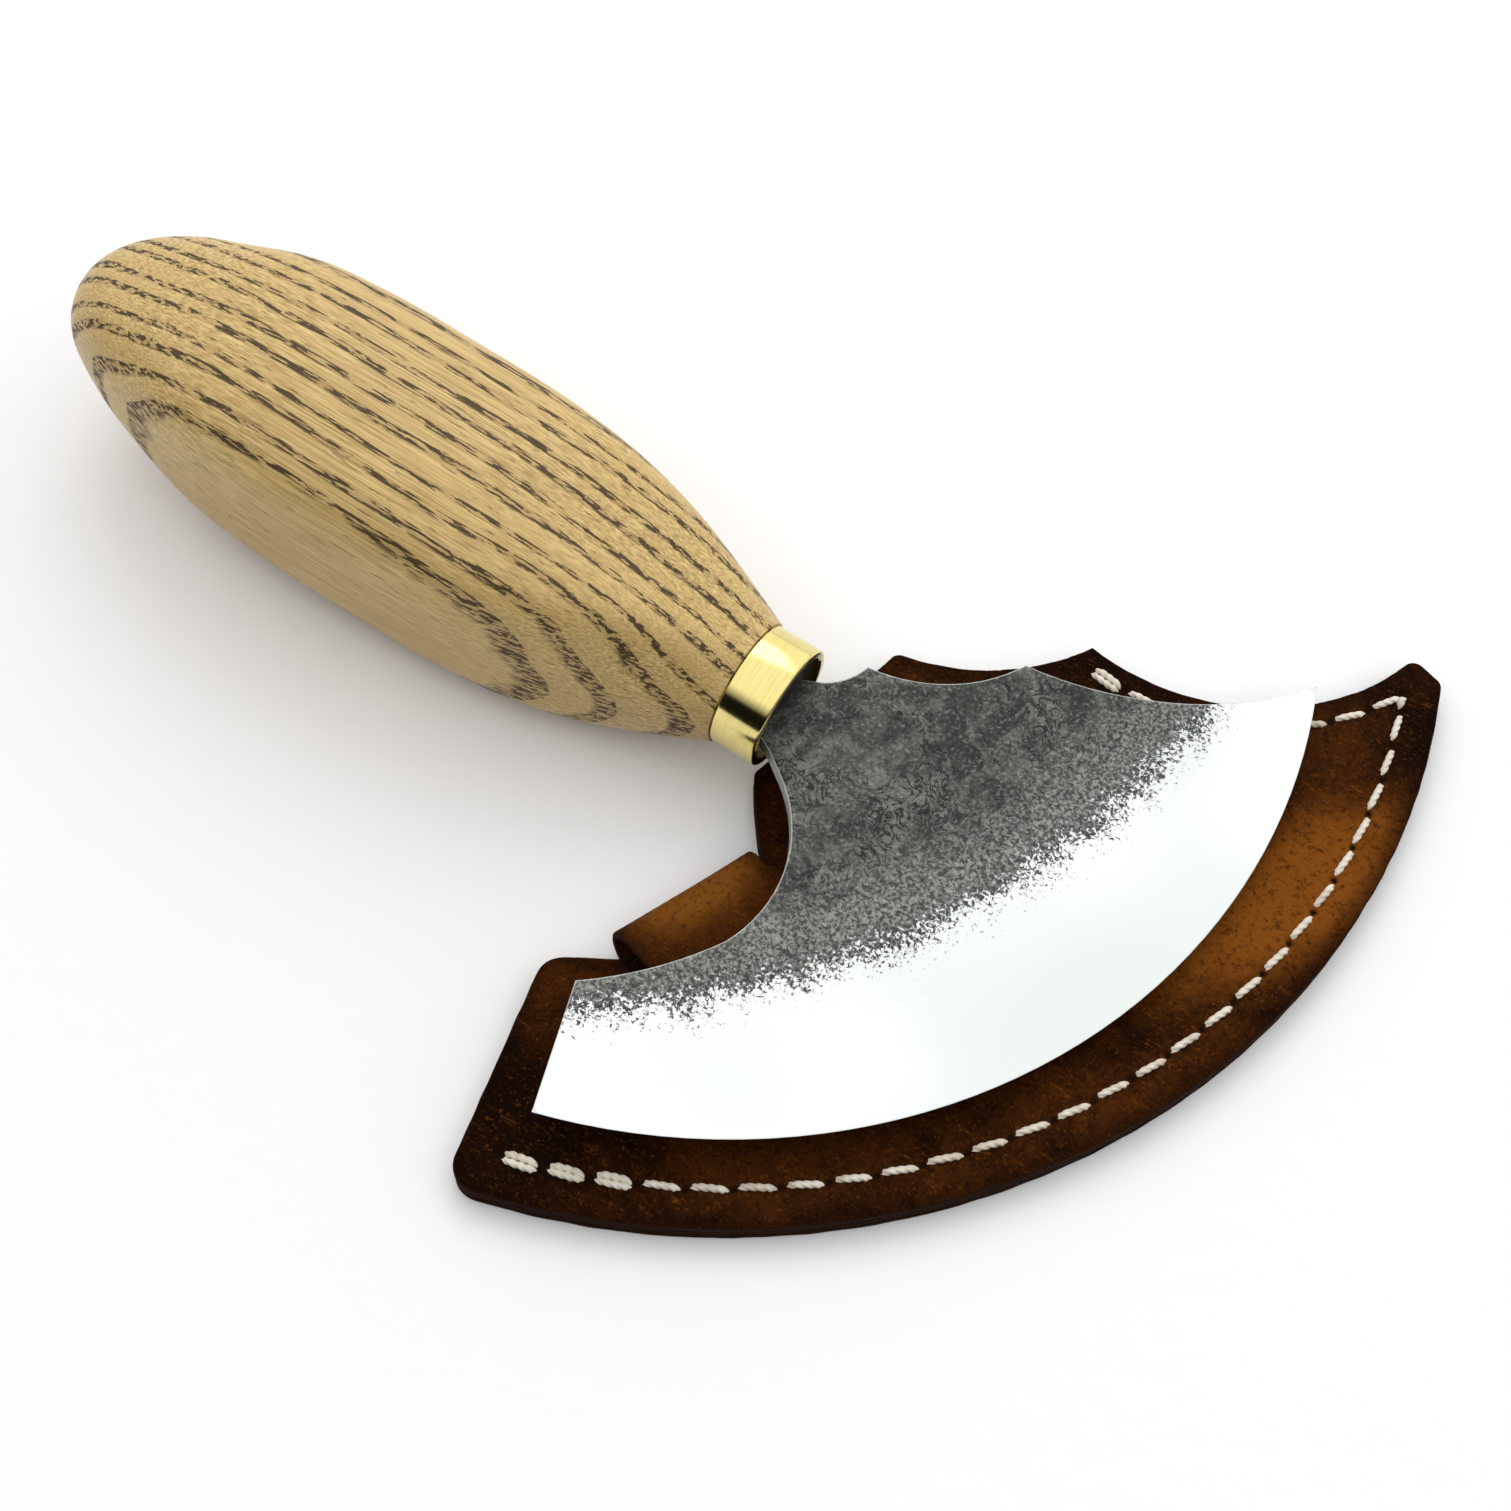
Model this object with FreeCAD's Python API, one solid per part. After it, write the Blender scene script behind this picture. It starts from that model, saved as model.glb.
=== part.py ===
"""Round knife for leather, lying on its own stitched sheath. Millimetres, +Z up, +X along the handle
towards the blade. The origin is on the table, under the middle of the whole object's box."""
import FreeCAD, Part
import math
import os

Vector = FreeCAD.Vector

# ---- Driving sizes: handle, with distances measured back from the ferrule's mouth ----
handle_length = 114.0          # wood only, from the ferrule to the butt
handle_half_width = 18.6
handle_half_height = 17.2
neck_step = 0.25               # wood proud of the ferrule where they meet
handle_squareness = 2.7        # 2 is an ellipse, more is flatter on top and on the sides
bore_radius = 6.3
bore_depth = 56.0              # beyond the ferrule
tenon_length = 4.5             # wood that reaches into the ferrule

# ---- Driving sizes: ferrule and the black resin round the tang ----
ferrule_radius = 9.0
ferrule_wall = 1.2
ferrule_length = 7.0
ferrule_edge_round = 0.35
resin_recess = 1.2

# ---- Driving sizes: blade, in its own plane, u from the ferrule's mouth and v across ----
blade_thickness = 2.4
blade_droop = 2.0              # degrees that the blade points below the handle's axis
blade_set_down = 2.0           # its middle plane below the axis at the ferrule's mouth
edge_radius = 87.6
edge_centre = (-24.2, 18.0)
edge_start_angle = -71.0
edge_end_angle = 20.6
edge_thickness = 0.24
grind_width = 23.6
heel_corner = (-1.1, -48.0)
heel_bend = (6.9, -39.6)
scallop_start = (11.4, -32.6)
scallop_middle = (12.7, -22.6)
scallop_end = (4.4, -8.8)
neck_half_width = 6.7
neck_start = 1.4
notch_middle = (3.5, 8.9)
first_peak = (5.0, 12.4)
finger_middle = (15.6, 17.0)
second_peak = (22.6, 25.9)
toe_middle = (38.6, 31.2)
tang_root_half_width = 4.75
tang_shoulder = 2.2            # tang's root, behind the mouth
tang_length = 50.0
tang_end_half_width = 3.0

# ---- Driving sizes: sheath, x and y measured from under the ferrule's mouth ----
leather = 1.4                  # thickness of the front, the back and the flap
welt_thickness = 1.2
sheath_radius = 105.8
sheath_centre = (-27.6, 26.2)
sheath_start_angle = -75.9
sheath_end_angle = 19.6
sheath_corner_round = 4.0
horn_inner = (66.7, 63.4)
horn_round = 1.8
toe_side_radius = 34.0
toe_side_centre = (33.9, 72.2)
sheath_peak_angle = -100.9     # of the toe side's arc, where the finger scallop begins
throat_middle = (18.9, 28.5)
throat_top = (4.7, 22.1)
throat_round = 1.8
throat_bottom = (-1.6, -5.8)
throat_bend = (2.9, -12.2)
fold_right = (8.1, -17.9)
fold_left = (-0.5, -38.8)
heel_top = (-9.4, -44.2)
welt_width = 11.0
toe_welt_width = 8.0
pocket_setback = 1.0           # front panel's edge, in from the folded leather

# ---- Driving sizes: flap and press stud ----
flap_length = 36.0
flap_flare = 5.0               # how far the flap widens past the fold's right end
flap_end_half_width = 9.0
flap_gap = 0.3                 # between the flap's root and the fold that it hinges on
stud_from_fold = 25.0
stud_from_left = 12.0
stud_radius = 5.4
stud_base = 0.8
stud_nub_radius = 2.6
stud_nub_height = 1.1
socket_radius = 6.0
socket_thickness = 1.1
socket_clearance = 0.15
cap_radius = 6.3
cap_height = 1.5
rivet_radius = 1.6
rivet_clearance = 0.1
post_flange = 0.6
post_flange_radius = 4.0

# ---- Driving sizes: saddle stitching ----
stitch_pitch = 6.0
stitch_inset = 5.4
toe_stitch_inset = 3.5
first_hole_angle = -72.9
toe_stitches = 8
thread_width = 1.0
thread_stand = 0.45            # above the front panel's face
thread_sink = 0.45             # groove depth in both faces
hole_gap = 0.9                 # leather left between two stitches
doubled_first = 3              # stitches at the heel that are sewn twice
doubled_width = 1.9

# ---- Clearances ----
rest_gap = 0.3                 # between the resting blade and the cap under it
groove_clearance = 0.05

sheath_height = 2 * leather + welt_thickness
back_top = leather
front_bottom = leather + welt_thickness
ferrule_bore = ferrule_radius - ferrule_wall
handle_neck_radius = ferrule_radius + neck_step


def flat(point, z=0.0):
    return Vector(point[0], point[1], z)


def on_circle(centre, radius, degrees):
    turn = math.radians(degrees)
    return (centre[0] + radius * math.cos(turn), centre[1] + radius * math.sin(turn))


def line(start, end):
    return Part.LineSegment(flat(start), flat(end)).toShape()


def arc(start, middle, end):
    return Part.Arc(flat(start), flat(middle), flat(end)).toShape()


def plate(edges, z, thickness):
    """A flat plate with the outline that the edges make."""
    face = Part.Face(Part.Wire(edges))
    face.translate(Vector(0, 0, z))
    return face.extrude(Vector(0, 0, thickness))


def cylinder(radius, height, centre, z):
    return Part.makeCylinder(radius, height, flat(centre, z))


def round_corners(solid, radius, corners):
    """Round the upright edges that stand at the given corners."""
    upright = []
    for edge in solid.Edges:
        first = edge.Vertexes[0].Point
        last = edge.Vertexes[-1].Point
        if math.hypot(first.x - last.x, first.y - last.y) > 0.01:
            continue
        if any(math.hypot(first.x - x, first.y - y) < 0.05 for x, y in corners):
            upright.append(edge)
    return solid.makeFillet(radius, upright)


# ---------------------------------------------------------------- knife, mouth of the ferrule at 0,0,0

def handle_stations():
    """Distance back from the mouth, share of the full width, share of the full height, squareness."""
    neck_width = handle_neck_radius / handle_half_width
    neck_height = handle_neck_radius / handle_half_height
    soft = 2.0 + 0.5 * (handle_squareness - 2.0)
    shares = [
        (0.000, neck_width, neck_height, 2.0),
        (0.072, 0.640, 0.665, soft),
        (0.158, 0.790, 0.805, handle_squareness),
        (0.253, 0.920, 0.915, handle_squareness),
        (0.360, 0.985, 0.985, handle_squareness),
        (0.490, 1.000, 1.000, handle_squareness),
        (0.630, 0.995, 0.985, handle_squareness),
        (0.730, 0.945, 0.930, handle_squareness),
        (0.825, 0.835, 0.815, soft),
        (0.900, 0.680, 0.655, soft),
        (0.955, 0.515, 0.495, 2.1),
        (0.985, 0.310, 0.300, 2.0),
        (0.998, 0.120, 0.115, 2.0),
    ]
    return [(ferrule_length + share * handle_length, width * handle_half_width,
             height * handle_half_height, power) for share, width, height, power in shares]


def handle_section(back, half_width, half_height, power):
    """One rounded section of the handle, square to its axis."""
    points = []
    for step in range(24):
        turn = 2 * math.pi * step / 24
        across = abs(math.cos(turn)) ** (2 / power) * math.copysign(1, math.cos(turn))
        up = abs(math.sin(turn)) ** (2 / power) * math.copysign(1, math.sin(turn))
        points.append(Vector(-back, half_width * across, half_height * up))
    curve = Part.BSplineCurve()
    curve.interpolate(Points=points, PeriodicFlag=True)
    return Part.Wire([curve.toShape()])


def make_handle():
    body = Part.makeLoft([handle_section(*station) for station in handle_stations()], True, False)
    tenon_start = ferrule_length - tenon_length
    tenon = Part.makeCylinder(ferrule_bore, tenon_length + 1.0, Vector(-tenon_start, 0, 0), Vector(-1, 0, 0))
    bore = Part.makeCylinder(bore_radius, bore_depth + tenon_length, Vector(-tenon_start, 0, 0), Vector(-1, 0, 0))
    return body.fuse(tenon).cut(bore)


def make_ferrule():
    outer = Part.makeCylinder(ferrule_radius, ferrule_length, Vector(0, 0, 0), Vector(-1, 0, 0))
    inner = Part.makeCylinder(ferrule_bore, ferrule_length, Vector(0, 0, 0), Vector(-1, 0, 0))
    ring = outer.cut(inner)
    rims = [edge for edge in ring.Edges
            if isinstance(edge.Curve, Part.Circle) and abs(edge.Curve.Radius - ferrule_radius) < 0.01]
    return ring.makeFillet(ferrule_edge_round, rims)


def blade_outline():
    edge_start = on_circle(edge_centre, edge_radius, edge_start_angle)
    edge_middle = on_circle(edge_centre, edge_radius, (edge_start_angle + edge_end_angle) / 2)
    edge_end = on_circle(edge_centre, edge_radius, edge_end_angle)
    neck_left = (neck_start, -neck_half_width)
    neck_right = (neck_start, neck_half_width)
    root_left = (-tang_shoulder, -tang_root_half_width)
    root_right = (-tang_shoulder, tang_root_half_width)
    tip_left = (-tang_length, -tang_end_half_width)
    tip_right = (-tang_length, tang_end_half_width)
    return [
        arc(edge_start, edge_middle, edge_end),
        arc(edge_end, toe_middle, second_peak),
        arc(second_peak, finger_middle, first_peak),
        arc(first_peak, notch_middle, neck_right),
        line(neck_right, root_right),
        line(root_right, tip_right),
        line(tip_right, tip_left),
        line(tip_left, root_left),
        line(root_left, neck_left),
        line(neck_left, scallop_end),
        arc(scallop_end, scallop_middle, scallop_start),
        arc(scallop_start, heel_bend, heel_corner),
        line(heel_corner, edge_start),
    ]


def grind_cut(side):
    """What the grinder takes off one face: a shallow cone round the edge's centre."""
    half = blade_thickness / 2
    inner = edge_radius - grind_width
    past = 2.0
    slope = (half - edge_thickness / 2) / grind_width
    section = [
        Vector(edge_centre[0] + inner, edge_centre[1], side * half),
        Vector(edge_centre[0] + edge_radius + past, edge_centre[1], side * (edge_thickness / 2 - past * slope)),
        Vector(edge_centre[0] + edge_radius + past, edge_centre[1], side * (half + 1)),
        Vector(edge_centre[0] + inner, edge_centre[1], side * (half + 1)),
    ]
    face = Part.Face(Part.makePolygon(section + section[:1]))
    return face.revolve(flat(edge_centre), Vector(0, 0, 1), 360)


def to_blade_plane(shape):
    """Move a shape from the blade's own plane to its place in the ferrule."""
    placed = shape.copy()
    placed.rotate(Vector(0, 0, 0), Vector(0, 1, 0), blade_droop)
    placed.translate(Vector(0, 0, -blade_set_down))
    return placed


def make_blade():
    blank = plate(blade_outline(), -blade_thickness / 2, blade_thickness)
    ground = blank.cut(grind_cut(1)).cut(grind_cut(-1))
    return to_blade_plane(ground)


def make_tang_resin(blade):
    """Black resin that fills the bore and the ferrule round the tang."""
    mouth_plug = Part.makeCylinder(ferrule_bore, ferrule_length - tenon_length - resin_recess,
                                   Vector(-resin_recess, 0, 0), Vector(-1, 0, 0))
    bore_fill = Part.makeCylinder(bore_radius, bore_depth + tenon_length,
                                  Vector(tenon_length - ferrule_length, 0, 0), Vector(-1, 0, 0))
    return mouth_plug.fuse(bore_fill).cut(blade).removeSplitter()


# ---------------------------------------------------------------- sheath, on the table at z = 0

sheath_peak = on_circle(toe_side_centre, toe_side_radius, sheath_peak_angle)
sheath_heel = on_circle(sheath_centre, sheath_radius, sheath_start_angle)
horn_outer = on_circle(sheath_centre, sheath_radius, sheath_end_angle)
fold_angle = math.atan2(fold_right[1] - fold_left[1], fold_right[0] - fold_left[0])
fold_length = math.hypot(fold_right[0] - fold_left[0], fold_right[1] - fold_left[1])
flap_bottom = sheath_height + stud_base + socket_thickness
flap_top = flap_bottom + leather
fold_outer = flap_top / 2
fold_inner = fold_outer - leather


def from_fold(inward, along):
    """A plan point, from its distance in from the fold line and along it from the left end."""
    c = math.cos(fold_angle)
    s = math.sin(fold_angle)
    return (fold_left[0] + inward * s + along * c, fold_left[1] - inward * c + along * s)


stud_place = from_fold(stud_from_fold, stud_from_left)


def sheath_outline(fold_setback):
    """The sheath's outline, with the mouth side moved in from the fold by fold_setback."""
    sheath_middle = on_circle(sheath_centre, sheath_radius, (sheath_start_angle + sheath_end_angle) / 2)
    toe_side_middle = on_circle(toe_side_centre, toe_side_radius, -58.0)
    right = from_fold(fold_setback, fold_length)
    left = from_fold(fold_setback, 0)
    return [
        arc(sheath_heel, sheath_middle, horn_outer),
        line(horn_outer, horn_inner),
        arc(horn_inner, toe_side_middle, sheath_peak),
        arc(sheath_peak, throat_middle, throat_top),
        line(throat_top, throat_bottom),
        arc(throat_bottom, throat_bend, fold_right),
    ] + ([line(fold_right, right)] if fold_setback else []) + [
        line(right, left),
    ] + ([line(left, fold_left)] if fold_setback else []) + [
        line(fold_left, heel_top),
        line(heel_top, sheath_heel),
    ]


def sheath_plate(z, thickness, fold_setback=0.0):
    solid = plate(sheath_outline(fold_setback), z, thickness)
    solid = round_corners(solid, sheath_corner_round, [sheath_heel, heel_top])
    return round_corners(solid, horn_round, [horn_outer, horn_inner, throat_top, throat_bottom])


def circle_crossing(centre_a, radius_a, centre_b, radius_b):
    """The crossing of two circles that lies on the right as seen from the first centre."""
    gap_x = centre_b[0] - centre_a[0]
    gap_y = centre_b[1] - centre_a[1]
    gap = math.hypot(gap_x, gap_y)
    along = (radius_a ** 2 - radius_b ** 2 + gap ** 2) / (2 * gap)
    off = math.sqrt(radius_a ** 2 - along ** 2)
    return (centre_a[0] + (along * gap_x + off * gap_y) / gap, centre_a[1] + (along * gap_y - off * gap_x) / gap)


def stitch_holes():
    """Awl holes from the heel round the edge to the horn, then back along the toe side."""
    edge_line = sheath_radius - stitch_inset
    toe_line = toe_side_radius + toe_stitch_inset
    horn_hole = circle_crossing(sheath_centre, edge_line, toe_side_centre, toe_line)
    horn_angle = math.degrees(math.atan2(horn_hole[1] - sheath_centre[1], horn_hole[0] - sheath_centre[0]))
    step = math.degrees(stitch_pitch / edge_line)
    count = int((horn_angle - first_hole_angle) / step) + 1
    holes = [on_circle(sheath_centre, edge_line, first_hole_angle + step * number) for number in range(count)]
    holes.append(horn_hole)
    toe_angle = math.degrees(math.atan2(horn_hole[1] - toe_side_centre[1], horn_hole[0] - toe_side_centre[0]))
    toe_step = math.degrees(stitch_pitch / toe_line)
    for number in range(1, toe_stitches + 1):
        holes.append(on_circle(toe_side_centre, toe_line, toe_angle - toe_step * number))
    return holes


def stitch_bar(start, end, width, z, height):
    """A straight stitch with round ends, between two holes."""
    length = math.hypot(end[0] - start[0], end[1] - start[1])
    turn = math.degrees(math.atan2(end[1] - start[1], end[0] - start[0]))
    half = width / 2
    reach = length / 2 - hole_gap / 2 - half
    rounded = [
        line((-reach, -half), (reach, -half)),
        arc((reach, -half), (reach + half, 0), (reach, half)),
        line((reach, half), (-reach, half)),
        arc((-reach, half), (-reach - half, 0), (-reach, -half)),
    ]
    bar = plate(rounded, z, height)
    bar.rotate(Vector(0, 0, 0), Vector(0, 0, 1), turn)
    bar.translate(Vector((start[0] + end[0]) / 2, (start[1] + end[1]) / 2, 0))
    return bar


def stitch_rows(z, height, extra):
    """One bar for every stitch, wider by extra on each side."""
    holes = stitch_holes()
    bars = []
    for number in range(len(holes) - 1):
        doubled = number < doubled_first or number == len(holes) - 2
        width = (doubled_width if doubled else thread_width) + 2 * extra
        bars.append(stitch_bar(holes[number], holes[number + 1], width, z, height))
    return bars


def make_front_thread():
    return Part.makeCompound(stitch_rows(sheath_height - thread_sink, thread_sink + thread_stand, 0))


def make_back_thread():
    return Part.makeCompound(stitch_rows(0, thread_sink, 0))


def make_front_panel():
    panel = sheath_plate(front_bottom, leather, fold_outer + pocket_setback)
    panel = panel.cut(cylinder(rivet_radius + rivet_clearance, leather, stud_place, front_bottom))
    grooves = stitch_rows(sheath_height - thread_sink, thread_sink, groove_clearance)
    return panel.cut(Part.makeCompound(grooves))


def make_mouth_fold():
    """The half roll of leather at the mouth side, from the back panel's edge up to the flap's root."""
    outer = Part.makeCylinder(fold_outer, fold_length)
    inner = Part.makeCylinder(fold_inner, fold_length)
    ring = outer.cut(inner)
    half = ring.common(Part.makeBox(2 * fold_outer, 2 * fold_outer, fold_length,
                                    Vector(-2 * fold_outer, -fold_outer, 0)))
    half.rotate(Vector(0, 0, 0), Vector(1, 0, 0), -90)
    half.rotate(Vector(0, 0, 0), Vector(0, 0, 1), math.degrees(fold_angle) - 90)
    half.translate(flat(fold_left, fold_outer))
    return half


def make_back_panel():
    panel = sheath_plate(0, leather)
    return panel.cut(Part.makeCompound(stitch_rows(0, thread_sink, groove_clearance)))


def make_welt():
    """The strip between front and back that takes the stitches and guards them from the edge."""
    whole = sheath_plate(back_top, welt_thickness)
    edge_strip = whole.cut(cylinder(sheath_radius - welt_width, welt_thickness, sheath_centre, back_top))
    toe_side = cylinder(toe_side_radius + toe_welt_width, welt_thickness, toe_side_centre, back_top)
    past_peak = Part.makeBox(100, 100, welt_thickness, Vector(sheath_peak[0] - 1.5, -20, back_top))
    return edge_strip.fuse(whole.common(toe_side).common(past_peak)).removeSplitter()


def make_closing_flap():
    """The tongue that folds over the front, with a hole for the cap's rivet."""
    end_left = from_fold(flap_length - flap_end_half_width, stud_from_left - flap_end_half_width)
    end_tip = from_fold(flap_length, stud_from_left)
    end_right = from_fold(flap_length - flap_end_half_width, stud_from_left + flap_end_half_width)
    shoulder = from_fold(flap_flare, fold_length + flap_flare)
    tongue = plate([
        line(from_fold(flap_gap, 0), end_left),
        arc(end_left, end_tip, end_right),
        line(end_right, shoulder),
        line(shoulder, from_fold(flap_gap, fold_length)),
        line(from_fold(flap_gap, fold_length), from_fold(flap_gap, 0)),
    ], flap_bottom, leather)
    return tongue.cut(cylinder(rivet_radius + rivet_clearance, leather, stud_place, flap_bottom))


def make_snap_cap():
    """Domed cap on top of the flap, with the rivet that goes through it."""
    dome_rise = cap_height - 0.5
    dome_radius = (cap_radius ** 2 + dome_rise ** 2) / (2 * dome_rise)
    ball = Part.makeSphere(dome_radius, flat(stud_place, flap_top + cap_height - dome_radius))
    disc = cylinder(cap_radius, cap_height, stud_place, flap_top).common(ball)
    rivet = cylinder(rivet_radius, leather + socket_thickness / 2, stud_place, flap_bottom - socket_thickness / 2)
    return disc.fuse(rivet).removeSplitter()


def make_snap_socket():
    """Ring under the flap that grips the stud's nub."""
    ring = cylinder(socket_radius, socket_thickness, stud_place, flap_bottom - socket_thickness)
    grip = cylinder(stud_nub_radius + socket_clearance, socket_thickness / 2, stud_place,
                    flap_bottom - socket_thickness)
    rivet_hole = cylinder(rivet_radius, socket_thickness, stud_place, flap_bottom - socket_thickness)
    return ring.cut(grip).cut(rivet_hole)


def make_snap_stud():
    """Stud on the front panel, open underneath for the post."""
    base = cylinder(stud_radius, stud_base - socket_clearance, stud_place, sheath_height)
    nub = cylinder(stud_nub_radius, stud_base + socket_thickness / 2 - 2 * socket_clearance,
                   stud_place, sheath_height)
    return base.fuse(nub).cut(cylinder(rivet_radius, stud_base, stud_place, sheath_height)).removeSplitter()


def make_snap_post():
    """Post whose flange lies in the pocket and whose shank goes up through the front panel."""
    flange = cylinder(post_flange_radius, post_flange, stud_place, front_bottom - post_flange)
    shank = cylinder(rivet_radius, leather + stud_base, stud_place, front_bottom)
    return flange.fuse(shank).removeSplitter()


# ---------------------------------------------------------------- the knife's rest on table and sheath

def blade_underside(pitch, x, y, mouth_height):
    """Height of the blade's lower face over a plan point, with the knife pitched down by pitch."""
    from_edge_centre = math.hypot(x - edge_centre[0], y - edge_centre[1])
    ground = max(0.0, from_edge_centre - (edge_radius - grind_width))
    half = blade_thickness / 2 - ground * (blade_thickness - edge_thickness) / 2 / grind_width
    slope = math.radians(pitch + blade_droop)
    return mouth_height - blade_set_down - x * math.tan(slope) - half / math.cos(slope)


def mouth_height_at(pitch):
    """Height of the ferrule's mouth when the handle's belly touches the table."""
    turn = math.radians(pitch)
    return max(height * math.cos(turn) - back * math.sin(turn) for back, width, height, power in handle_stations())


def rest_pitch():
    """Pitch at which the belly touches the table and the blade lies rest_gap over the cap."""
    low = -5.0
    high = 10.0
    for step in range(40):
        pitch = (low + high) / 2
        gap = blade_underside(pitch, stud_place[0], stud_place[1], mouth_height_at(pitch)) - flap_top - cap_height
        if gap > rest_gap:
            low = pitch
        else:
            high = pitch
    return pitch


def place_knife(pieces):
    """Pitch the knife down to the sheath and lower its belly on to the table."""
    pitch = rest_pitch()
    for shape in pieces.values():
        shape.rotate(Vector(0, 0, 0), Vector(0, 1, 0), pitch)
    lift = -pieces["handle"].optimalBoundingBox(False, False).ZMin
    for shape in pieces.values():
        shape.translate(Vector(0, 0, lift))
    print("knife pitch %.3f degrees, mouth height %.3f" % (pitch, lift))
    return lift


def main():
    blade = make_blade()
    knife = {
        "handle": make_handle(),
        "ferrule": make_ferrule(),
        "tang_resin": make_tang_resin(blade),
        "blade": blade,
    }
    mouth_height = place_knife(knife)
    sheath = {
        "back_panel": make_back_panel(),
        "mouth_fold": make_mouth_fold(),
        "welt": make_welt(),
        "front_panel": make_front_panel(),
        "closing_flap": make_closing_flap(),
        "front_thread": make_front_thread(),
        "back_thread": make_back_thread(),
        "snap_cap": make_snap_cap(),
        "snap_socket": make_snap_socket(),
        "snap_stud": make_snap_stud(),
        "snap_post": make_snap_post(),
    }
    pieces = {**knife, **sheath}
    boxes = [shape.optimalBoundingBox(False, False) for shape in pieces.values()]
    middle_x = (min(box.XMin for box in boxes) + max(box.XMax for box in boxes)) / 2
    middle_y = (min(box.YMin for box in boxes) + max(box.YMax for box in boxes)) / 2
    os.makedirs("parts", exist_ok=True)
    for node, shape in pieces.items():
        shape.translate(Vector(-middle_x, -middle_y, 0))
        shape.exportStep("parts/%s.step" % node)
        print("%-14s %2d solids, volume %9.1f, valid %s" % (node, len(shape.Solids), shape.Volume, shape.isValid()))
    hinge = from_fold(0, 0)
    hinge_end = from_fold(0, fold_length)
    print("mouth", -middle_x, -middle_y, mouth_height)
    print("flap hinge from", hinge[0] - middle_x, hinge[1] - middle_y, "to", hinge_end[0] - middle_x,
          hinge_end[1] - middle_y, "height", flap_top)
    print("stud", stud_place[0] - middle_x, stud_place[1] - middle_y)
    print("size", max(b.XMax for b in boxes) - min(b.XMin for b in boxes),
          max(b.YMax for b in boxes) - min(b.YMin for b in boxes), max(b.ZMax for b in boxes))


main()
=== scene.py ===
import math

import bpy
import numpy as np
from mathutils import Matrix, Vector
from mathutils.geometry import delaunay_2d_cdt


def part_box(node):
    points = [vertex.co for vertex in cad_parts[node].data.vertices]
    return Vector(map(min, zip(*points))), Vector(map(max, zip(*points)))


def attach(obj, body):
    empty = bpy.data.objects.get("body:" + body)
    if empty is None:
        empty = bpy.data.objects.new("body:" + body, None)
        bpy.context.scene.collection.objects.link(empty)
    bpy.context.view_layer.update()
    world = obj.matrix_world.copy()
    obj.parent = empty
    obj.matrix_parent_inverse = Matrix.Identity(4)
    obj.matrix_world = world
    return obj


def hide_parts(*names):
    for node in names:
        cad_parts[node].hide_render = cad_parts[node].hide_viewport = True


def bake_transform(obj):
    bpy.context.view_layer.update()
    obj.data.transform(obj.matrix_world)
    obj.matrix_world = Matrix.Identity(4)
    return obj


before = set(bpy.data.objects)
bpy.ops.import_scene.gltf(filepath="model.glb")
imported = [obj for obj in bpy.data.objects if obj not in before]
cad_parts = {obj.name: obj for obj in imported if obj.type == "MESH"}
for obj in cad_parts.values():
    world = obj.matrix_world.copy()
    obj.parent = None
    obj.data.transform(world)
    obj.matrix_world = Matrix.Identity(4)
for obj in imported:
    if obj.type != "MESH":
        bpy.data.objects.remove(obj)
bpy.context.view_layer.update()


# ---- Table, lamps and camera ----
# The knife lies on a white table in a light tent. One large soft lamp stands high behind it. The lower
# part of the room is dim where the brass and the steel mirror it, and pale where it is seen directly.

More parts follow.
